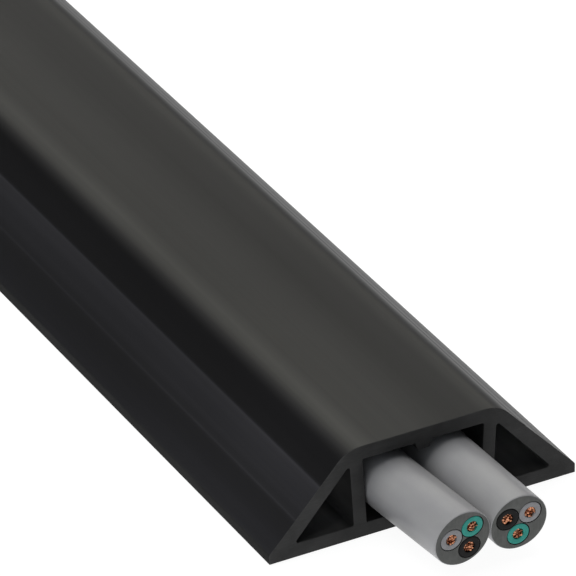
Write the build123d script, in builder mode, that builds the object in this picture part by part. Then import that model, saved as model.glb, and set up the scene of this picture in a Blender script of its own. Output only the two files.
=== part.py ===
from build123d import *
import os
from collections import namedtuple
from math import acos, atan2, cos, degrees, radians, sin

# Cable protector ramp: a rubber floor duct with two three-core cords lying in it.
# Millimetres, +Z up, +Y along the duct. The origin is on the floor, in the middle of the duct.
# "Left" and "right" are as seen from the near end, -Y, looking along the duct.

# Duct
LENGTH = 914.0  # a three-foot stock length
WIDTH = 70.0
HEIGHT = 21.2
TOE_HEIGHT = 2.1  # upright face of each toe
TOE_RADIUS = 0.6
CREST_HALF_WIDTH = 17.3  # where the slope would meet the flat top without the rounding
CREST_RADIUS = 7.5
BASE_THICKNESS = 3.16
CEILING = 18.13  # underside of the flat top
INNER_RADIUS = 0.45  # corners of the hollows

# Middle channel
CHANNEL_TOP_HALF = 13.8
CHANNEL_FOOT_HALF = 13.0
WEB_THICKNESS = 2.9
RIB_DEPTH = 1.7  # rib under the ceiling that keeps two cords apart
RIB_ROOT_HALF = 1.9
RIB_TIP_HALF = 1.3

# The duct is one extrusion, kept as a ramp on each side and the roof of the channel between them,
# so that each is simple enough to leave the channel open in a simulation.
ROOF_HALF = 12.5

# Side ducts, triangular hollows inside the slopes
SIDE_TIP_HALF = 29.4  # outer sharp corner, on the base
SLOPE_INNER_TOP_HALF = 16.23  # where the hollow's slope would meet the ceiling's height

# Base flaps: the two halves of the channel's floor, hinged along their bottom outer edges
HINGE_NOTCH = 0.3  # gap at the top of the hinge line
SLIT_BOTTOM_HALF = 0.25
SLIT_TOP_HALF = 0.75

# Cords
CORD_RADIUS = 6.25
CORD_REACH = 23.55  # how far the middle of a cord stands out of each end of the duct
CUT_SPARE = 3.0  # extra length that the slanting cut takes off
BEND_RADIUS = 75.0
CORE_RADIUS = 2.38
CORE_GAP = 0.04  # between a core and the jacket
CORE_PITCH_RADIUS = 2.9  # the cores' centres round the middle of their bundle
STRAND_RADIUS = 0.23
STRAND_PITCH = 0.475
STRANDS_IN_RING = (6, 12)  # round one middle strand
CONDUCTOR_GAP = 0.04  # between the outer strands and the insulation

# mouth: where the cord's axis crosses the duct's near end, (x, z).
# turn, cut: degrees by which its free end, and its cut face, turn towards +X and down.
# bundle: where the middle of its cores lies off its axis, (x, z).
# cores: the angle of each core round that middle, anticlockwise from +X as seen from the near end.
Cord = namedtuple("Cord", "name mouth turn cut bundle cores")
CORDS = (
    Cord(
        name="left",
        mouth=(-6.57, 9.78),
        turn=(5.2, 0.1),
        cut=(1.0, 5.5),
        bundle=(0.32, -0.12),
        cores={"green": 53, "white": 169, "black": 298},
    ),
    Cord(
        name="right",
        mouth=(6.88, 10.1),
        turn=(3.2, 1.35),
        cut=(-2.0, 4.0),
        bundle=(0.04, 0.05),
        cores={"white": 34, "black": 152, "green": 270},
    ),
)

os.makedirs("parts", exist_ok=True)


def write(builder, label):
    """Name a finished piece and write its STEP file."""
    builder.part.label = label
    export_step(builder.part, f"parts/{label}.step")


# ---------------------------------------------------------------- duct
channel = [
    (-CHANNEL_FOOT_HALF, 0),
    (-CHANNEL_FOOT_HALF, BASE_THICKNESS),
    (-CHANNEL_TOP_HALF, CEILING),
    (-RIB_ROOT_HALF, CEILING),
    (-RIB_TIP_HALF, CEILING - RIB_DEPTH),
    (RIB_TIP_HALF, CEILING - RIB_DEPTH),
    (RIB_ROOT_HALF, CEILING),
    (CHANNEL_TOP_HALF, CEILING),
    (CHANNEL_FOOT_HALF, BASE_THICKNESS),
    (CHANNEL_FOOT_HALF, 0),
]

# Where the web's outer face would meet the ceiling's height and the hollow's inner slope.
hollow_rise = CEILING - BASE_THICKNESS
web_lean = (CHANNEL_TOP_HALF - CHANNEL_FOOT_HALF) / hollow_rise
slope_lean = (SIDE_TIP_HALF - SLOPE_INNER_TOP_HALF) / hollow_rise
web_foot = CHANNEL_FOOT_HALF + WEB_THICKNESS
side_rise = (SIDE_TIP_HALF - web_foot) / (web_lean + slope_lean)
side_duct = [
    (web_foot, BASE_THICKNESS),
    (SIDE_TIP_HALF, BASE_THICKNESS),
    (web_foot + web_lean * side_rise, BASE_THICKNESS + side_rise),
]

with BuildPart() as duct:
    with BuildSketch(Plane.XZ) as outer:
        with BuildLine():
            Polyline(
                (-WIDTH / 2, 0),
                (WIDTH / 2, 0),
                (WIDTH / 2, TOE_HEIGHT),
                (CREST_HALF_WIDTH, HEIGHT),
                (-CREST_HALF_WIDTH, HEIGHT),
                (-WIDTH / 2, TOE_HEIGHT),
                close=True,
            )
        make_face()
        fillet(outer.vertices().group_by(Axis.Y)[-1], CREST_RADIUS)
        fillet(outer.vertices().group_by(Axis.Y)[1], TOE_RADIUS)
    extrude(amount=LENGTH / 2, both=True)
    with BuildSketch(Plane.XZ) as hollows:
        with BuildLine():
            Polyline(*channel, close=True)
        make_face()
        fillet(hollows.vertices().group_by(Axis.Y)[-1].sort_by(Axis.X)[0], INNER_RADIUS)
        fillet(hollows.vertices().group_by(Axis.Y)[-1].sort_by(Axis.X)[-1], INNER_RADIUS)
        with BuildSketch(mode=Mode.PRIVATE) as right_duct:
            with BuildLine():
                Polyline(*side_duct, close=True)
            make_face()
            fillet(right_duct.vertices(), INNER_RADIUS)
        add(right_duct.sketch)
        add(mirror(right_duct.sketch, about=Plane.YZ, mode=Mode.PRIVATE))
    extrude(amount=LENGTH / 2, both=True, mode=Mode.SUBTRACT)

with BuildPart() as left_ramp:
    add(duct.part)
    split(bisect_by=Plane.YZ.offset(-ROOF_HALF), keep=Keep.BOTTOM)
write(left_ramp, "left_ramp")

with BuildPart() as right_ramp:
    add(duct.part)
    split(bisect_by=Plane.YZ.offset(ROOF_HALF), keep=Keep.TOP)
write(right_ramp, "right_ramp")

with BuildPart() as channel_roof:
    add(duct.part)
    split(bisect_by=Plane.YZ.offset(-ROOF_HALF), keep=Keep.TOP)
    split(bisect_by=Plane.YZ.offset(ROOF_HALF), keep=Keep.BOTTOM)
write(channel_roof, "channel_roof")

# ---------------------------------------------------------------- base flaps
for name, side in (("left_base_flap", -1), ("right_base_flap", 1)):
    with BuildPart() as base_flap:
        with BuildSketch(Plane.XZ):
            with BuildLine():
                Polyline(
                    (side * CHANNEL_FOOT_HALF, 0),
                    (side * SLIT_BOTTOM_HALF, 0),
                    (side * SLIT_TOP_HALF, BASE_THICKNESS),
                    (side * (CHANNEL_FOOT_HALF - HINGE_NOTCH), BASE_THICKNESS),
                    close=True,
                )
            make_face()
        extrude(amount=LENGTH / 2, both=True)
    write(base_flap, name)

# ---------------------------------------------------------------- cords
# A cord runs straight through the duct, turns in one gentle bend that ends at the near mouth, and
# goes on straight to its cut end. Everything in a cord keeps its place in the section all the way.
Route = namedtuple("Route", "start bend_axis bend run cut")


def towards(yaw, drop):
    """Direction out of the near end, turned by yaw degrees towards +X and by drop degrees down."""
    yaw = radians(yaw)
    drop = radians(drop)
    return Vector(sin(yaw) * cos(drop), -cos(yaw) * cos(drop), -sin(drop))


def cord_route(cord):
    """The plane where the bend starts, the bend's axis and angle, the straight run, and the cut's plane."""
    ahead = towards(*cord.turn)
    turn = acos(-ahead.Y)
    tilt = atan2(ahead.Z, ahead.X)  # direction of the bend, seen from the near end
    sideways = Vector(cos(tilt), 0, sin(tilt))
    bend_length = BEND_RADIUS * sin(turn)
    mouth = Vector(cord.mouth[0], -LENGTH / 2, cord.mouth[1])
    start = Plane(
        origin=mouth + Vector(0, bend_length, 0) - sideways * BEND_RADIUS * (1 - cos(turn)),
        x_dir=(1, 0, 0),
        z_dir=(0, -1, 0),
    )
    bend_axis = Axis(start.origin + sideways * BEND_RADIUS, (-sin(tilt), 0, cos(tilt)))
    run = LENGTH + CORD_REACH - bend_length
    cut = Plane(origin=mouth + ahead * CORD_REACH, z_dir=towards(*cord.cut))
    return Route(start, bend_axis, degrees(turn), run, cut)


def follow(section, route):
    """Carry a section of the cord along its whole route, inside the part being built."""
    extrude(section, amount=-route.run)
    revolve(section, axis=route.bend_axis, revolution_arc=route.bend)
    extrude(section.rotate(route.bend_axis, route.bend), amount=CORD_REACH + CUT_SPARE)
    split(bisect_by=route.cut, keep=Keep.BOTTOM)


def core_centre(cord, angle):
    """Centre of a core in the cord's section."""
    across = cord.bundle[0] + CORE_PITCH_RADIUS * cos(radians(angle))
    up = cord.bundle[1] + CORE_PITCH_RADIUS * sin(radians(angle))
    return (across, up)


conductor_radius = STRAND_PITCH * len(STRANDS_IN_RING) + STRAND_RADIUS

for cord in CORDS:
    route = cord_route(cord)
    length = route.run + radians(route.bend) * BEND_RADIUS + CORD_REACH
    print(f"{cord.name} cord: {length:.1f} mm along its axis, with a bend of {route.bend:.2f} degrees")

    with BuildPart() as cable_jacket:
        with BuildSketch(route.start) as jacket_section:
            Circle(CORD_RADIUS)
            with Locations(*[core_centre(cord, angle) for angle in cord.cores.values()]):
                Circle(CORE_RADIUS + CORE_GAP, mode=Mode.SUBTRACT)
        follow(jacket_section.sketch, route)
    write(cable_jacket, f"{cord.name}_cable_jacket")

    for colour, angle in cord.cores.items():
        with BuildPart() as insulation:
            with BuildSketch(route.start) as insulation_section:
                with Locations(core_centre(cord, angle)):
                    Circle(CORE_RADIUS)
                    Circle(conductor_radius + CONDUCTOR_GAP, mode=Mode.SUBTRACT)
            follow(insulation_section.sketch, route)
        write(insulation, f"{cord.name}_{colour}_insulation")

        with BuildPart() as conductor:
            with BuildSketch(route.start) as strand_section:
                with Locations(core_centre(cord, angle)):
                    Circle(STRAND_RADIUS)
                    for ring, strands in enumerate(STRANDS_IN_RING, start=1):
                        with PolarLocations(ring * STRAND_PITCH, strands):
                            Circle(STRAND_RADIUS)
            follow(strand_section.sketch, route)
        write(conductor, f"{cord.name}_{colour}_conductor")
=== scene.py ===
from collections import namedtuple
from math import acos, atan2, ceil, cos, pi, radians, sin, tan
from random import Random

import bmesh
import bpy
from mathutils import Matrix, Vector


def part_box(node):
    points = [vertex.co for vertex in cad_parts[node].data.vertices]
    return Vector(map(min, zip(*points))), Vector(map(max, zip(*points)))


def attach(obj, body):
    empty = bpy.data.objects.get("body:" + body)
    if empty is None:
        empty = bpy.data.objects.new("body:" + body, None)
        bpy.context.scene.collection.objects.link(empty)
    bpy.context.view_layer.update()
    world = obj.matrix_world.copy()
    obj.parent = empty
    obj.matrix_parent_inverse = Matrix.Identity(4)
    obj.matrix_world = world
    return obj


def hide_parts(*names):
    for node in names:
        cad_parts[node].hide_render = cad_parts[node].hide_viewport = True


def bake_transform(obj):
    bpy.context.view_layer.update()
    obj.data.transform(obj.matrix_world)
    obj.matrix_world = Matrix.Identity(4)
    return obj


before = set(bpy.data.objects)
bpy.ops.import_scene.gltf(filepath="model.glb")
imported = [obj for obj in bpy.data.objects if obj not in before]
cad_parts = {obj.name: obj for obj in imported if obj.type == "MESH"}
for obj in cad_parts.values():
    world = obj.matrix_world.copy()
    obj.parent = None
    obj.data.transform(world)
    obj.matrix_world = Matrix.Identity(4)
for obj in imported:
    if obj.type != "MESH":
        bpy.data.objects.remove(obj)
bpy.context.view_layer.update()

# Looks of the cable protector ramp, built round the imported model.
# Places are in millimetres in the model's own frame until the mesh is written, which is in metres.
# "Left" and "right" are as seen from the near end, -Y, looking along the duct.

MM = 0.001

# ---------------------------------------------------------------- sizes
low, high = (Vector(corner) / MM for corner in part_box("right_ramp"))
LENGTH = high.y - low.y
WIDTH = 2 * high.x
HEIGHT = high.z
BASE_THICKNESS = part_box("left_base_flap")[1][2] / MM

TOE_HEIGHT = 2.1
TOE_RADIUS = 0.6
CREST_HALF_WIDTH = 17.3
CREST_RADIUS = 7.5
CEILING = 18.13
INNER_RADIUS = 0.45
CHANNEL_TOP_HALF = 13.8
CHANNEL_FOOT_HALF = 13.0
WEB_THICKNESS = 2.9
RIB_DEPTH = 1.7
RIB_ROOT_HALF = 1.9
RIB_TIP_HALF = 1.3
SIDE_TIP_HALF = 29.4
SLOPE_INNER_TOP_HALF = 16.23
SLIT_BOTTOM_HALF = 0.25
SLIT_TOP_HALF = 0.75
INSIDE_MARGIN = 0.25  # tells the faces of the hollows from the underside and the flat top
EDGE_RADIUS = 0.18  # corners of the extrusion that look sharp
CUT_RADIUS = 0.14  # edges of the sawn ends

# Each slope is drawn in three bands, and a fine raised line runs along each border.
BAND_BORDERS = (0.345, 0.665)  # as fractions of the slope, from the crest down
LINE_HALF_WIDTH = 0.16
LINE_HEIGHT = 0.05
BAND_RECESS = 0.06

# The flaps bend out of the channel's floor between these places.
SEAM_HALF = 12.4
FLAP_SPAN = 0.6  # largest gap between points across a flap, so that it bends smoothly

# Fineness of the meshes
ARC_STEP = radians(7)
RIM_STEPS = 4
SUPPORT = 0.25  # keeps the shading of a flat side flat beside a rounded corner
SHARP_ANGLE = radians(40)
SAME_PLACE = 1e-6
IN_LINE = 1e-4  # sine of the angle between two sides that count as one
LENGTH_PARTS = 8
BEND_PARTS = 5
JACKET_SIDES = 112
CORE_SIDES = 56
CONDUCTOR_SIDES = 40
STRAND_SIDES = 14

# Cords, on the same route as their solids
CORD_RADIUS = 6.25
CORD_REACH = 23.55
BEND_RADIUS = 75.0
CORE_RADIUS = 2.38
CORE_GAP = 0.04
CORE_PITCH_RADIUS = 2.9
STRAND_RADIUS = 0.23
STRAND_PITCH = 0.475
STRANDS_IN_RING = (1, 6, 12)
RING_TURN = 0.2  # radians that each ring of strands is turned from the one inside it
CONDUCTOR_GAP = 0.04
CUT_REACH = 1.0  # the near end's rim is drawn within this of the cut, and slants with it
JACKET_RIM = 0.16
INSULATION_RIM = 0.14
STRAND_RIM = 0.05
GROOVE_EASE = 0.8  # a groove's depth round a core at the cut, as a share of the jacket's rim
GROOVE_WALL_SHARE = 0.45  # the most that a groove takes of the wall between two cores
STRAND_RECESS = (0.02, 0.4)  # how far inside the cut each strand ends
STRAND_SLANT = 0.8  # steepest slope of a strand's own end
STRAND_SEED = 19

# mouth: where the cord's axis crosses the duct's near end, (x, z).
# turn, cut: degrees by which its free end, and its cut face, turn towards +X and down.
# bundle: where the middle of its cores lies off its axis, (x, z).
# cores: the angle of each core round that middle, anticlockwise from +X as seen from the near end.
Cord = namedtuple("Cord", "name mouth turn cut bundle cores")
CORDS = (
    Cord(
        name="left",
        mouth=(-6.57, 9.78),
        turn=(5.2, 0.1),
        cut=(1.0, 5.5),
        bundle=(0.32, -0.12),
        cores={"green": 53, "white": 169, "black": 298},
    ),
    Cord(
        name="right",
        mouth=(6.88, 10.1),
        turn=(3.2, 1.35),
        cut=(-2.0, 4.0),
        bundle=(0.04, 0.05),
        cores={"white": 34, "black": 152, "green": 270},
    ),
)


# ---------------------------------------------------------------- sections
# A piece's materials, by number: its skin, its cut faces, and its insides or grooves.
SKIN, CUT, INSIDE = range(3)

# ease: the share of a rim's depth that each point takes. rim: the rim's material.
Loop = namedtuple("Loop", "points ease rim", defaults=(None, CUT))


def outline(corners):
    """A closed outline from (x, z, radius) corners. Each corner with a radius becomes an arc."""
    points = []
    for before, corner, after in zip(corners[-1:] + corners[:-1], corners, corners[1:] + corners[:1]):
        here = Vector(corner[:2])
        to_before = (Vector(before[:2]) - here).normalized()
        to_after = (Vector(after[:2]) - here).normalized()
        radius = corner[2]
        if not radius:
            points.append(here)
            continue
        half = to_before.angle(to_after) / 2
        reach = radius / tan(half)
        centre = here + (to_before + to_after).normalized() * radius / sin(half)
        first = here + to_before * reach - centre
        turn = first.angle_signed(here + to_after * reach - centre)
        steps = max(3, ceil(abs(turn) / ARC_STEP))
        points.append(centre + first + to_before * SUPPORT)
        for step in range(steps + 1):
            points.append(centre + Matrix.Rotation(-turn * step / steps, 2) @ first)
        points.append(here + to_after * (reach + SUPPORT))
    return points


def circle(centre, radius, steps, inner=False):
    """A circle, counted the other way round where it bounds a hole."""
    way = -1 if inner else 1
    angles = [way * 2 * pi * k / steps for k in range(steps)]
    return [Vector((centre[0] + radius * cos(angle), centre[1] + radius * sin(angle))) for angle in angles]


def divided(points, span):
    """The same outline with its long sides cut into equal parts no longer than span."""
    result = []
    for here, after in zip(points, points[1:] + points[:1]):
        parts = max(1, ceil((after - here).length / span))
        result += [here.lerp(after, part / parts) for part in range(parts)]
    return result


def inset(loop, depth, is_seam):
    """The loop's points moved into the material by depth, except the sides that lie on a seam."""
    points = loop.points
    moved = []
    for before, here, after in zip(points[-1:] + points[:-1], points, points[1:] + points[:1]):
        normals = []
        for start, end in ((before, here), (here, after)):
            side = (end - start).normalized()
            normals.append((Vector((-side.y, side.x)), 0 if is_seam(start, end) else depth))
        (first, first_depth), (second, second_depth) = normals
        turn = first.cross(second)
        if abs(turn) < IN_LINE:
            moved.append(here + first * first_depth)
            continue
        moved.append(here + Vector((
            (first_depth * second.y - second_depth * first.y) / turn,
            (second_depth * first.x - first_depth * second.x) / turn,
        )))
    if not loop.ease:
        return moved
    return [here.lerp(there, ease) for here, there, ease in zip(points, moved, loop.ease)]


def rim(radius):
    """A rounded edge, from the cut face back: (distance from the cut, depth into the material)."""
    angles = [pi / 2 * k / RIM_STEPS for k in range(RIM_STEPS + 1)]
    edge = [(radius * (1 - cos(angle)), radius * (1 - sin(angle))) for angle in angles]
    return [*edge, (radius + SUPPORT, 0)]


def stations(first, last, middle, radius):
    """Stations along a skin: (distance, depth into the material), with a rim at both cut ends."""
    edge = rim(radius)
    return [
        *((first + back, depth) for back, depth in edge),
        *((distance, 0) for distance in middle),
        *((last - back, depth) for back, depth in reversed(edge)),
    ]


def nowhere(start, end):
    """No side at all: a section without seams, or without dull sides."""
    return False


def flap_seam(start, end):
    """Sides where the duct and a flap meet; they have no rim, so the join doesn't show."""
    return all(abs(abs(point.x) - SEAM_HALF) < SAME_PLACE for point in (start, end))


def is_inside(start, end):
    """Sides that face the inside of the duct, and the upright edges of the toes."""
    if all(abs(point.x) > WIDTH / 2 - TOE_RADIUS / 2 for point in (start, end)):
        return True
    lean = (WIDTH / 2 - CREST_HALF_WIDTH) / (HEIGHT - TOE_HEIGHT)
    return all(
        INSIDE_MARGIN < point.y < CEILING + INSIDE_MARGIN
        and abs(point.x) < CREST_HALF_WIDTH + (HEIGHT - point.y) * lean - WEB_THICKNESS / 2
        for point in (start, end)
    )


# ---------------------------------------------------------------- meshes
def add_skin(bm, loops, along, place, is_seam=nowhere, is_dull=nowhere):
    """Carry the loops through the stations and fill both ends. Sides that is_seam picks get no rim, and
    sides that is_dull picks take the material of the insides."""
    rings = []
    for distance, depth in along:
        rings.append([
            [bm.verts.new(place(distance, point) * MM) for point in inset(loop, depth, is_seam)]
            for loop in loops
        ])
    for index, (before, after) in enumerate(zip(rings, rings[1:])):
        in_rim = index < RIM_STEPS or index >= len(rings) - 1 - RIM_STEPS
        for loop, near, far in zip(loops, before, after):
            for k in range(len(near)):
                face = bm.faces.new((near[k - 1], near[k], far[k], far[k - 1]))
                face.smooth = True
                side = INSIDE if is_dull(loop.points[k - 1], loop.points[k]) else SKIN
                face.material_index = loop.rim if in_rim else side
    for ring in (rings[0], rings[-1]):
        edges = [bm.edges.get((loop[k - 1], loop[k])) for loop in ring for k in range(len(loop))]
        for face in bmesh.ops.triangle_fill(bm, edges=edges, use_beauty=True)["geom"]:
            if isinstance(face, bmesh.types.BMFace):
                face.smooth = False
                face.material_index = CUT


def finish_piece(bm, name, body, nodes, materials):
    """Turn the mesh into a piece that rides on its body in place of its CAD nodes."""
    bmesh.ops.recalc_face_normals(bm, faces=bm.faces)
    mesh = bpy.data.meshes.new(name)
    bm.to_mesh(mesh)
    bm.free()
    mesh.set_sharp_from_angle(angle=SHARP_ANGLE)
    for material in materials:
        mesh.materials.append(material)
    piece = bpy.data.objects.new(name, mesh)
    bpy.context.collection.objects.link(piece)
    if body:
        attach(piece, body)
    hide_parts(*nodes)
    return piece


# ---------------------------------------------------------------- duct
def slope_corners(side):
    """The outer slope from the crest down, with its recessed bands and raised border lines."""
    crest = Vector((side * CREST_HALF_WIDTH, HEIGHT))
    toe = Vector((side * WIDTH / 2, TOE_HEIGHT))
    down = (toe - crest).normalized()
    inward = Vector((down.y, -down.x)) * side
    length = (toe - crest).length
    corners = []
    line = ((-2, 0), (-1, LINE_HEIGHT), (1, LINE_HEIGHT), (2, 0))
    for border in BAND_BORDERS:
        for offset, rise in line:
            along = border * length + offset * LINE_HALF_WIDTH
            place = crest + down * along + inward * (BAND_RECESS - rise)
            corners.append((place.x, place.y, 0))
    return corners


def duct_outline():
    """The duct's section without its side ducts. It is open at the bottom, where the flaps join on."""
    right_slope = slope_corners(1)[::-1]
    left_slope = slope_corners(-1)
    return outline(
        [
            (SEAM_HALF, 0, 0),
            (WIDTH / 2, 0, EDGE_RADIUS),
            (WIDTH / 2, TOE_HEIGHT, TOE_RADIUS),
            *right_slope,
            (CREST_HALF_WIDTH, HEIGHT, CREST_RADIUS),
            (-CREST_HALF_WIDTH, HEIGHT, CREST_RADIUS),
            *left_slope,
            (-WIDTH / 2, TOE_HEIGHT, TOE_RADIUS),
            (-WIDTH / 2, 0, EDGE_RADIUS),
            (-SEAM_HALF, 0, 0),
            (-SEAM_HALF, BASE_THICKNESS, 0),
            (-CHANNEL_FOOT_HALF, BASE_THICKNESS, EDGE_RADIUS),
            (-CHANNEL_TOP_HALF, CEILING, INNER_RADIUS),
            (-RIB_ROOT_HALF, CEILING, EDGE_RADIUS),
            (-RIB_TIP_HALF, CEILING - RIB_DEPTH, EDGE_RADIUS),
            (RIB_TIP_HALF, CEILING - RIB_DEPTH, EDGE_RADIUS),
            (RIB_ROOT_HALF, CEILING, EDGE_RADIUS),
            (CHANNEL_TOP_HALF, CEILING, INNER_RADIUS),
            (CHANNEL_FOOT_HALF, BASE_THICKNESS, EDGE_RADIUS),
            (SEAM_HALF, BASE_THICKNESS, 0),
        ]
    )


def side_duct_outline(side):
    """The triangular hollow in one slope, counted so that the material is on its left."""
    rise = CEILING - BASE_THICKNESS
    web_lean = (CHANNEL_TOP_HALF - CHANNEL_FOOT_HALF) / rise
    slope_lean = (SIDE_TIP_HALF - SLOPE_INNER_TOP_HALF) / rise
    web_foot = CHANNEL_FOOT_HALF + WEB_THICKNESS
    apex = (SIDE_TIP_HALF - web_foot) / (web_lean + slope_lean)
    corners = [
        (side * web_foot, BASE_THICKNESS, INNER_RADIUS),
        (side * (web_foot + web_lean * apex), BASE_THICKNESS + apex, INNER_RADIUS),
        (side * SIDE_TIP_HALF, BASE_THICKNESS, INNER_RADIUS),
    ]
    return outline(corners[::side])


def along_duct(distance, point):
    """Where a point of the duct's section lies at a distance along it."""
    return Vector((point.x, distance, point.y))


def duct_stations():
    middle = [LENGTH * (k / LENGTH_PARTS - 0.5) for k in range(1, LENGTH_PARTS)]
    return stations(-LENGTH / 2, LENGTH / 2, middle, CUT_RADIUS)


def make_duct(materials):
    bm = bmesh.new()
    loops = [Loop(duct_outline()), Loop(side_duct_outline(-1)), Loop(side_duct_outline(1))]
    add_skin(bm, loops, duct_stations(), along_duct, flap_seam, is_inside)
    nodes = ("left_ramp", "right_ramp", "channel_roof")
    finish_piece(bm, "duct_extrusion", "duct", nodes, materials)


def make_flap(name, side, materials):
    """Half of the channel's floor. Its section is cut into short parts so that it would bend smoothly out of
    the duct along its root.
    """
    corners = [
        (side * SEAM_HALF, 0, 0),
        (side * SEAM_HALF, BASE_THICKNESS, 0),
        (side * SLIT_TOP_HALF, BASE_THICKNESS, EDGE_RADIUS),
        (side * SLIT_BOTTOM_HALF, 0, EDGE_RADIUS),
    ]
    bm = bmesh.new()
    loop = Loop(divided(outline(corners[::side]), FLAP_SPAN))
    add_skin(bm, [loop], duct_stations(), along_duct, flap_seam, is_inside)
    nodes = (f"{name}_base_flap",)
    flap = finish_piece(bm, f"{name}_flap_skin", None, nodes, materials)
    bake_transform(flap)


# ---------------------------------------------------------------- cords
def towards(yaw, drop):
    """Direction out of the near end, turned by yaw degrees towards +X and by drop degrees down."""
    yaw = radians(yaw)
    drop = radians(drop)
    return Vector((sin(yaw) * cos(drop), -cos(yaw) * cos(drop), -sin(drop)))


def cord_route(cord):
    """Distances on a cord are measured towards the near end, from where its bend starts. Returns a function
    that places a point of the section at a distance, and the distances of the far end, of the bend's end
    and of the near end."""
    ahead = towards(*cord.turn)
    turn = acos(-ahead.y)
    tilt = atan2(ahead.z, ahead.x)
    sideways = Vector((cos(tilt), 0, sin(tilt)))
    bend_length = BEND_RADIUS * sin(turn)
    mouth = Vector((cord.mouth[0], -LENGTH / 2, cord.mouth[1]))
    start = mouth + Vector((0, bend_length, 0)) - sideways * BEND_RADIUS * (1 - cos(turn))
    centre = start + sideways * BEND_RADIUS
    bend_axis = Vector((-sin(tilt), 0, cos(tilt)))
    far = -(LENGTH + CORD_REACH - bend_length)
    bend_end = BEND_RADIUS * turn
    near = bend_end + CORD_REACH
    cut = towards(*cord.cut)

    def place(distance, point):
        spot = start + Vector((point.x, 0, point.y))
        if distance <= 0:
            return spot - Vector((0, distance, 0))
        rotation = Matrix.Rotation(min(distance / BEND_RADIUS, turn), 3, bend_axis)
        spot = centre + rotation @ (spot - centre)
        if distance > near - CUT_REACH:
            distance -= (rotation @ Vector((point.x, 0, point.y))).dot(cut) / ahead.dot(cut)
        return spot + ahead * max(0, distance - bend_end)

    return place, far, bend_end, near


def cord_stations(far, bend_end, near, radius):
    """Stations along a cord: few on its straight, more round its bend."""
    straight = [far * k / LENGTH_PARTS for k in range(LENGTH_PARTS - 1, 0, -1)]
    bend = [bend_end * k / BEND_PARTS for k in range(BEND_PARTS + 1)]
    return stations(far, near, straight + bend, radius)


def core_centre(cord, angle):
    """Centre of a core in the cord's section."""
    return Vector(cord.bundle) + CORE_PITCH_RADIUS * Vector((cos(radians(angle)), sin(radians(angle))))


def bore_loop(cord, angle):
    """The hole round a core. A groove, painted near black as shade, opens round it at the cut, as far as the
    next core allows.
    """
    radius = CORE_RADIUS + CORE_GAP
    points = circle(core_centre(cord, angle), radius, CORE_SIDES, inner=True)
    others = [core_centre(cord, other) for other in cord.cores.values() if other != angle]
    walls = [min((point - other).length for other in others) - radius for point in points]
    ease = [min(GROOVE_EASE, GROOVE_WALL_SHARE * max(wall, 0.0) / JACKET_RIM) for wall in walls]
    return Loop(points, ease, rim=INSIDE)


def make_jacket(cord, materials):
    place, far, bend_end, near = cord_route(cord)
    bores = [bore_loop(cord, angle) for angle in cord.cores.values()]
    bm = bmesh.new()
    loops = [Loop(circle((0, 0), CORD_RADIUS, JACKET_SIDES), rim=SKIN), *bores]
    add_skin(bm, loops, cord_stations(far, bend_end, near, JACKET_RIM), place)
    nodes = (f"{cord.name}_cable_jacket",)
    finish_piece(bm, f"{cord.name}_jacket_skin", f"{cord.name}_cable", nodes, materials)


def make_insulation(cord, colour, angle, material):
    place, far, bend_end, near = cord_route(cord)
    centre = core_centre(cord, angle)
    conductor_radius = STRAND_PITCH * (len(STRANDS_IN_RING) - 1) + STRAND_RADIUS
    bm = bmesh.new()
    loops = [
        Loop(circle(centre, CORE_RADIUS, CORE_SIDES)),
        Loop(circle(centre, conductor_radius + CONDUCTOR_GAP, CONDUCTOR_SIDES, inner=True)),
    ]
    add_skin(bm, loops, cord_stations(far, bend_end, near, INSULATION_RIM), place)
    node = f"{cord.name}_{colour}_insulation"
    body = f"{cord.name}_cable"
    finish_piece(bm, f"{node}_skin", body, (node,), (material, material))


def make_conductor(cord, colour, angle, material, chance):
    """Nineteen strands. Each is sheared off a little differently at the near end."""
    place, far, bend_end, near = cord_route(cord)
    along = cord_stations(far, bend_end, near, STRAND_RIM)
    bm = bmesh.new()
    for ring, strands in enumerate(STRANDS_IN_RING):
        for k in range(strands):
            turn = 2 * pi * k / strands + RING_TURN * ring
            centre = core_centre(cord, angle) + ring * STRAND_PITCH * Vector((cos(turn), sin(turn)))
            recess = chance.uniform(*STRAND_RECESS)
            slant = Vector([chance.uniform(-STRAND_SLANT, STRAND_SLANT) for axis in range(2)])

            def sheared(distance, point):
                back = recess + slant.dot(point - centre) if distance > near - CUT_REACH else 0
                return place(distance - back, point)

            add_skin(bm, [Loop(circle(centre, STRAND_RADIUS, STRAND_SIDES))], along, sheared)
    core = f"{cord.name}_{colour}"
    nodes = (f"{core}_conductor",)
    finish_piece(bm, f"{core}_strands", f"{cord.name}_cable", nodes, (material, material))


# ---------------------------------------------------------------- material tools
NOISE_RANGE = (0.3, 0.7)  # where most of a noise lies


def grey(value, warmth=0.0):
    """A grey that leans to yellow with warmth above zero and to blue below."""
    return (value * (1 + warmth * 0.5), value * (1 + warmth * 0.5), value * (1 - warmth), 1.0)


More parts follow.
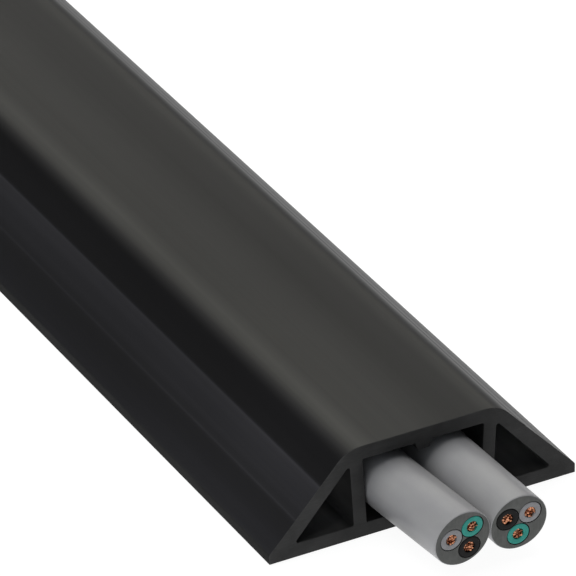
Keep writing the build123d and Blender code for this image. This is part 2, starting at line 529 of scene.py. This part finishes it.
class Shader:
    """A material's nodes, added one after another."""

    def __init__(self, name, **values):
        self.material = bpy.data.materials.new(name)
        self.material.use_nodes = True
        self.tree = self.material.node_tree
        self.surface = self.tree.nodes["Principled BSDF"]
        for socket, value in values.items():
            self.surface.inputs[socket.replace("_", " ")].default_value = value

    def add(self, kind, inputs=None, **settings):
        """A new node, with its settings and then its inputs set, as numbers or from other nodes."""
        made = self.tree.nodes.new("ShaderNode" + kind)
        for setting, value in settings.items():
            setattr(made, setting, value)
        for socket, value in (inputs or {}).items():
            self.join(value, made.inputs[socket])
        return made

    def join(self, value, socket):
        if isinstance(value, bpy.types.NodeSocket):
            self.tree.links.new(value, socket)
        else:
            socket.default_value = value

    def place(self, axis):
        """Place along one axis in the piece's own frame, in metres."""
        return self.add("SeparateXYZ", {0: self.add("TexCoord").outputs["Object"]}).outputs[axis]

    def distance(self, axis):
        """Distance from the middle along one axis, in metres."""
        return self.maths("ABSOLUTE", self.place(axis))

    def noise(self, scale, detail=3.0, distortion=0.0):
        """Noise with its own scale along each axis, in repeats per metre."""
        scaled = self.add("Mapping", {"Vector": self.add("TexCoord").outputs["Object"], "Scale": scale})
        inputs = {"Vector": scaled.outputs[0], "Scale": 1.0, "Detail": detail, "Distortion": distortion}
        return self.add("TexNoise", inputs).outputs["Fac"]

    def between(self, fac, low_in, high_in, low_out, high_out):
        """A value carried from one range to another, and held at its ends."""
        limits = {"From Min": low_in, "From Max": high_in, "To Min": low_out, "To Max": high_out}
        return self.add("MapRange", {"Value": fac, **limits}).outputs[0]

    def step(self, value, blend):
        """0 where a value in metres is below the first of two places in millimetres, and 1 above the second."""
        return self.between(value, blend[0] * MM, blend[1] * MM, 0, 1)

    def spread(self, noise, low, high):
        """A noise carried to the range from low to high."""
        return self.between(noise, *NOISE_RANGE, low, high)

    def ramp(self, value, stops):
        """A factor that follows a value in metres through (value in millimetres, factor) stops."""
        first, last = stops[0][0], stops[-1][0]
        most = max(level for position, level in stops)
        node = self.add("ValToRGB", {0: self.between(value, first * MM, last * MM, 0.0, 1.0)})
        bands = node.color_ramp.elements
        while len(bands) < len(stops):
            bands.new(0.5)
        for band, (position, level) in zip(bands, stops):
            band.position = (position - first) / (last - first)
            band.color = (level / most, level / most, level / most, 1)
        return self.between(node.outputs[0], 0.0, 1.0, 0.0, most)

    def maths(self, operation, first, second=0.0):
        """A sum on one number or two."""
        return self.add("Math", {0: first, 1: second}, operation=operation).outputs[0]

    def blend(self, fac, first, second):
        """A number between two others."""
        return self.add("Mix", {0: fac, 2: first, 3: second}, data_type="FLOAT").outputs[0]

    def mix(self, fac, first, second):
        """A colour between two others."""
        return self.add("Mix", {0: fac, 6: first, 7: second}, data_type="RGBA").outputs[2]

    def scaled(self, colour, factor):
        """A colour made lighter or darker by a factor."""
        return self.add("VectorMath", {0: colour, "Scale": factor}, operation="SCALE").outputs[0]

    def bump(self, height, depth, normal=None):
        """Relief of a given depth in metres, over an earlier one if there is one."""
        inputs = {"Height": height, "Distance": depth, "Strength": 1.0}
        if normal:
            inputs["Normal"] = normal
        return self.add("Bump", inputs).outputs[0]

    def set(self, **values):
        """Put values or nodes into the surface's sockets, and return the finished material."""
        for socket, value in values.items():
            self.join(value, self.surface.inputs[socket.replace("_", " ")])
        return self.material


# ---------------------------------------------------------------- materials
# Tones are linear, and stops are (place in millimetres, factor).
CREST_BLEND = (16, 19)  # where the flat top's colour gives way to the slope's
UNDERSIDE_BLEND = (0.1, 0.6)  # heights where the underside's tone gives way to the skin's
UNDERSIDE_TONE = 0.6
TOE_BLEND = (32, 34)  # where the tone of the hollows gives way to that of the toes' upright edges
TOE_TONE = 0.22

# Painted shade: the cut face's grey is the jacket's own grey darkened to about a third, for the shade that the
# cut face sits in.
JACKET_CUT_TONES = ((0.09, 0.093, 0.089, 1), (0.116, 0.119, 0.115, 1))
INSULATION_TONES = {
    "green": ((0.03, 0.27, 0.225, 1), (0.045, 0.34, 0.285, 1)),
    # Painted shade: the white core is given a mid grey, its white darkened for the shade at the cut.
    "white": (grey(0.25, -0.03), grey(0.31, -0.03)),
    "black": (grey(0.003), grey(0.006)),
}
COPPER_BRIGHT = (0.72, 0.33, 0.19, 1)
COPPER_STAIN = (0.32, 0.12, 0.06, 1)
COPPER_STAIN_RANGE = (0.35, 0.7)  # of the noise that sets where the stains lie


# The levels in the ramps below, along, across and up the object, were set so that the picture's tones match
# the photograph's from its one view. They hold some of the photograph's light as well as the material.
def painted_light_stops():
    """Across the duct: a painted highlight along each crest and each raised line, painted shade below each
    crest, and painted sheen that differs from band to band of each slope and across the top.
    """
    slope = WIDTH / 2 - CREST_HALF_WIDTH
    upper, lower = (CREST_HALF_WIDTH + border * slope for border in BAND_BORDERS)
    sides = (
        (18.8, 0.2), (upper - 0.2, 0.22), (upper, 1.3), (upper + 0.2, 0.85), (lower - 0.2, 0.75),
        (lower, 1.2), (lower + 0.2, 0.4), (33.5, 0.5), (WIDTH / 2, 0.7),
    )
    top = (
        (-CREST_HALF_WIDTH, 0.6), (-15.5, 1.4), (-13.5, 1.6), (-10.5, 1.0), (-2.0, 0.93), (4.0, 0.6),
        (9.0, 0.4), (12.5, 0.45), (14.5, 1.1), (16.0, 1.8), (CREST_HALF_WIDTH, 0.7),
    )
    return (*((-distance, level) for distance, level in reversed(sides)), *top, *sides)


def rubber_skin():
    """The extruded surface, with long streaks and fine lines along the duct, and painted highlights, shade and
    sheen across it and towards its ends.
    """
    shader = Shader("duct_rubber_skin", IOR=1.5, Specular_IOR_Level=0.12)
    lines = shader.noise((900, 5, 900), detail=4)
    streaks = shader.noise((150, 1.6, 150), detail=2)
    mottle = shader.noise((60, 25, 60), detail=4)
    grain = shader.noise((5200, 5200, 5200), detail=2)
    # Painted light: the top's warm grey and the slopes' cool grey give one rubber the tints of the warm light
    # above and the cool light from the left.
    flat = shader.mix(shader.spread(streaks, 0, 1), grey(0.018, 0.04), grey(0.025, 0.06))
    slope = shader.mix(shader.spread(streaks, 0, 1), grey(0.02, -0.08), grey(0.026, -0.1))
    outward = shader.step(shader.distance("X"), CREST_BLEND)
    tone = shader.mix(outward, flat, slope)
    tone = shader.scaled(tone, shader.spread(lines, 0.92, 1.08))
    tone = shader.scaled(tone, shader.spread(mottle, 0.94, 1.06))
    # Painted highlights, shade and sheen across the duct
    bands = shader.ramp(shader.place("X"), painted_light_stops())
    above = shader.step(shader.place("Z"), UNDERSIDE_BLEND)
    tone = shader.scaled(tone, shader.blend(above, UNDERSIDE_TONE, bands))
    # Painted light: the skin is made up to a third lighter over the last 70 mm towards each end.
    ends = ((0, 1.0), (LENGTH / 2 - 70, 1.0), (LENGTH / 2 - 15, 1.33), (LENGTH / 2, 1.33))
    tone = shader.scaled(tone, shader.ramp(shader.distance("Y"), ends))
    relief = shader.bump(streaks, 0.06 * MM)
    relief = shader.bump(lines, 0.015 * MM, relief)
    relief = shader.bump(grain, 0.006 * MM, relief)
    return shader.set(Base_Color=tone, Roughness=shader.spread(streaks, 0.42, 0.5), Normal=relief)


def rubber_cut():
    """Sawn rubber: duller and a little lighter than the skin, with fine marks across it."""
    shader = Shader("duct_rubber_cut", IOR=1.5, Specular_IOR_Level=0.2)
    marks = shader.noise((500, 500, 5200), detail=4, distortion=0.3)
    patches = shader.noise((260, 260, 260), detail=3)
    pores = shader.noise((4200, 4200, 4200), detail=2)
    tone = shader.mix(shader.spread(patches, 0, 1), grey(0.017), grey(0.025))
    tone = shader.scaled(tone, shader.spread(marks, 0.85, 1.15))
    # Painted light and shade: the cut face is made lighter upward and towards both sides, darker low down and
    # in the middle.
    painted_shading_by_height = ((0, 0.85), (8, 1.0), (14, 1.2), (HEIGHT, 1.3))
    across = (
        (-WIDTH / 2, 2.3), (-32, 1.9), (-22, 1.6), (-17, 1.35), (-12, 1.15),
        (12, 1.15), (17, 1.3), (22, 1.4), (WIDTH / 2, 1.65),
    )
    tone = shader.scaled(tone, shader.ramp(shader.place("Z"), painted_shading_by_height))
    tone = shader.scaled(tone, shader.ramp(shader.place("X"), across))
    relief = shader.bump(marks, 0.05 * MM)
    relief = shader.bump(pores, 0.03 * MM, relief)
    return shader.set(Base_Color=tone, Roughness=shader.spread(marks, 0.66, 0.8), Normal=relief)


def rubber_hollow():
    """The inside of the duct, in painted light and shade: lifted well above the skin's tone, dark at its mouths
    and lighter further in, to match the photograph.
    """
    shader = Shader("duct_rubber_hollow", IOR=1.5, Specular_IOR_Level=0.1)
    patches = shader.noise((350, 60, 350), detail=4)
    # Painted light: the hollows' rubber is several times lighter than the skin's, so that their dim insides
    # don't come out black.
    tone = shader.mix(shader.spread(patches, 0, 1), grey(0.08), grey(0.12))
    end = LENGTH / 2
    # Painted shade at the mouths and painted light further in.
    inward = ((0, 3.2), (end - 22, 3.2), (end - 12, 2.4), (end - 7, 1.5), (end - 3, 0.6), (end, 0.25))
    level = shader.ramp(shader.distance("Y"), inward)
    # Painted light and shade that differ for each hollow: lighter in the side ducts, darker on the left web's
    # wall and in the channel.
    across = (
        (-WIDTH / 2, 1.35), (-19, 1.35), (-16.5, 0.5), (-14, 0.5), (14, 0.5), (15.5, 1.2), (WIDTH / 2, 1.2),
    )
    level = shader.maths("MULTIPLY", level, shader.ramp(shader.place("X"), across))
    toe = shader.step(shader.distance("X"), TOE_BLEND)
    tone = shader.scaled(tone, shader.blend(toe, level, TOE_TONE))
    return shader.set(Base_Color=tone, Roughness=0.9, Normal=shader.bump(patches, 0.05 * MM))


def jacket_skin():
    """Smooth plastic with faint streaks along it, and painted shade low down, in the duct and just outside it.
    """
    shader = Shader("jacket_skin", IOR=1.46, Specular_IOR_Level=0.4)
    streaks = shader.noise((420, 9, 420), detail=3)
    clouds = shader.noise((160, 90, 160), detail=4)
    grain = shader.noise((6000, 3000, 6000), detail=2)
    tone = shader.mix(shader.spread(clouds, 0, 1), grey(0.31, -0.03), grey(0.35, -0.01))
    tone = shader.scaled(tone, shader.spread(streaks, 0.97, 1.03))
    end = LENGTH / 2
    # Painted shade: the jacket is darkened by up to two thirds low down, in the duct and up to 22 mm outside
    # it, where the duct shades it.
    painted_shading_by_height = ((5.5, 0.65), (8.2, 0.5), (9.8, 0.25), (11.5, 0.1), (14, 0.0))
    outward = ((0, 1.0), (end + 8, 1.0), (end + 14, 0.85), (end + 22, 0.0))
    painted_shade_low = shader.ramp(shader.place("Z"), painted_shading_by_height)
    painted_shade_near_mouth = shader.ramp(shader.distance("Y"), outward)
    darker = shader.maths("MULTIPLY", painted_shade_low, painted_shade_near_mouth)
    tone = shader.scaled(tone, shader.maths("SUBTRACT", 1.0, darker))
    relief = shader.bump(streaks, 0.03 * MM)
    relief = shader.bump(grain, 0.006 * MM, relief)
    return shader.set(Base_Color=tone, Roughness=shader.spread(clouds, 0.32, 0.42), Normal=relief)


def jacket_cut():
    shader = Shader("jacket_cut", IOR=1.46, Specular_IOR_Level=0.2)
    marks = shader.noise((2600, 700, 700), detail=3, distortion=0.4)
    patches = shader.noise((500, 500, 500), detail=3)
    tone = shader.mix(shader.spread(patches, 0, 1), *JACKET_CUT_TONES)
    tone = shader.scaled(tone, shader.spread(marks, 0.9, 1.1))
    relief = shader.bump(marks, 0.03 * MM)
    return shader.set(Base_Color=tone, Roughness=shader.spread(patches, 0.5, 0.62), Normal=relief)


def core_groove_painted_shade():
    """The groove round each core at the cut, painted near black as the shade inside it."""
    shader = Shader("core_groove_painted_shade", Specular_IOR_Level=0.1, Roughness=0.85)
    return shader.set(Base_Color=shader.mix(shader.noise((900, 900, 900)), grey(0.002), grey(0.012)))


def insulation_plastic(colour, dark, light):
    shader = Shader(f"insulation_{colour}_plastic", IOR=1.5, Specular_IOR_Level=0.12)
    clouds = shader.noise((700, 700, 700), detail=3)
    marks = shader.noise((3800, 900, 900), detail=2, distortion=0.3)
    tone = shader.mix(shader.spread(clouds, 0, 1), dark, light)
    relief = shader.bump(marks, 0.02 * MM)
    return shader.set(Base_Color=tone, Roughness=shader.spread(clouds, 0.32, 0.44), Normal=relief)


def copper_wire():
    shader = Shader("copper_wire", Metallic=1.0)
    stain = shader.noise((2600, 2600, 2600), detail=3)
    scratches = shader.noise((9000, 2500, 2500), detail=2)
    tone = shader.mix(shader.between(stain, *COPPER_STAIN_RANGE, 0, 1), COPPER_BRIGHT, COPPER_STAIN)
    relief = shader.bump(scratches, 0.02 * MM)
    return shader.set(Base_Color=tone, Roughness=shader.spread(stain, 0.24, 0.42), Normal=relief)


def floor_material():
    """A floor that comes out white, with only a faint shadow on it."""
    shader = Shader("pale_floor", Roughness=0.9)
    return shader.set(Base_Color=(0.15, 0.15, 0.15, 1), Emission_Color=(1, 1, 1, 1), Emission_Strength=0.93)


# ---------------------------------------------------------------- stage, light and camera
FLOOR_RADIUS = 60  # metres
FLOOR_DROP = 0.2  # millimetres below the underside of the duct
WORLD_COLOUR = (0.93, 0.96, 1.0, 1)
WORLD_STRENGTH = 0.05

CAMERA_PLACE = Vector((-480.07, -1319.10, 632.21))
CAMERA_AZIMUTH = -27.582  # degrees, anticlockwise from looking along the duct
CAMERA_PITCH = 30.383  # degrees down
CAMERA_ROLL = -1.067
CAMERA_LENS = 366.1  # millimetres
SENSOR_WIDTH = 36  # millimetres


def make_floor(material):
    place = (0, 0, -FLOOR_DROP * MM)
    bpy.ops.mesh.primitive_circle_add(vertices=96, radius=FLOOR_RADIUS, fill_type="NGON", location=place)
    floor = bpy.context.object
    floor.name = "floor"
    floor.data.materials.append(material)


def make_sun(name, direction, spread, level, colour):
    """A very wide, even softbox: the direction towards it, its full angle in degrees, the light that it
    gives a white card, and its colour."""
    lamp = bpy.data.lights.new(name, "SUN")
    lamp.energy = level * pi
    lamp.angle = radians(spread)
    lamp.color = colour
    sun = bpy.data.objects.new(name, lamp)
    sun.rotation_euler = Vector(direction).to_track_quat("Z", "Y").to_euler()
    bpy.context.collection.objects.link(sun)


def make_light():
    make_sun("softbox_key", (-0.25, 0.15, 0.95), spread=60, level=0.56, colour=(1.0, 0.99, 0.97))
    make_sun("softbox_behind", (0.32, 0.74, 0.6), spread=46, level=0.27, colour=(1.0, 0.985, 0.94))
    make_sun("fill_left", (-0.8, -0.5, 0.45), spread=80, level=0.18, colour=(0.9, 0.95, 1.0))
    world = bpy.data.worlds.new("studio")
    world.use_nodes = True
    background = world.node_tree.nodes["Background"]
    background.inputs["Color"].default_value = WORLD_COLOUR
    background.inputs["Strength"].default_value = WORLD_STRENGTH
    bpy.context.scene.world = world
    bpy.context.scene.view_settings.view_transform = "Standard"


def make_camera():
    azimuth = radians(CAMERA_AZIMUTH)
    pitch = radians(CAMERA_PITCH)
    back = Vector((sin(azimuth) * cos(pitch), -cos(azimuth) * cos(pitch), sin(pitch)))
    right = Vector((cos(azimuth), sin(azimuth), 0))
    up = back.cross(right)
    axes = Matrix((right, up, back)).transposed() @ Matrix.Rotation(radians(CAMERA_ROLL), 3, "Z")
    lens = bpy.data.cameras.new("camera")
    lens.lens = CAMERA_LENS
    lens.sensor_width = SENSOR_WIDTH
    lens.clip_start = 0.01
    lens.clip_end = 200
    camera = bpy.data.objects.new("camera", lens)
    camera.matrix_world = Matrix.Translation(CAMERA_PLACE * MM) @ axes.to_4x4()
    bpy.context.collection.objects.link(camera)
    bpy.context.scene.camera = camera


# ---------------------------------------------------------------- scene
make_camera()
make_light()
make_floor(floor_material())

rubber = (rubber_skin(), rubber_cut(), rubber_hollow())
make_duct(rubber)
make_flap("left", -1, rubber)
make_flap("right", 1, rubber)

jacket = (jacket_skin(), jacket_cut(), core_groove_painted_shade())
insulation = {colour: insulation_plastic(colour, *tones) for colour, tones in INSULATION_TONES.items()}
copper = copper_wire()
chance = Random(STRAND_SEED)
for cord in CORDS:
    make_jacket(cord, jacket)
    for colour, angle in cord.cores.items():
        make_insulation(cord, colour, angle, insulation[colour])
        make_conductor(cord, colour, angle, copper, chance)
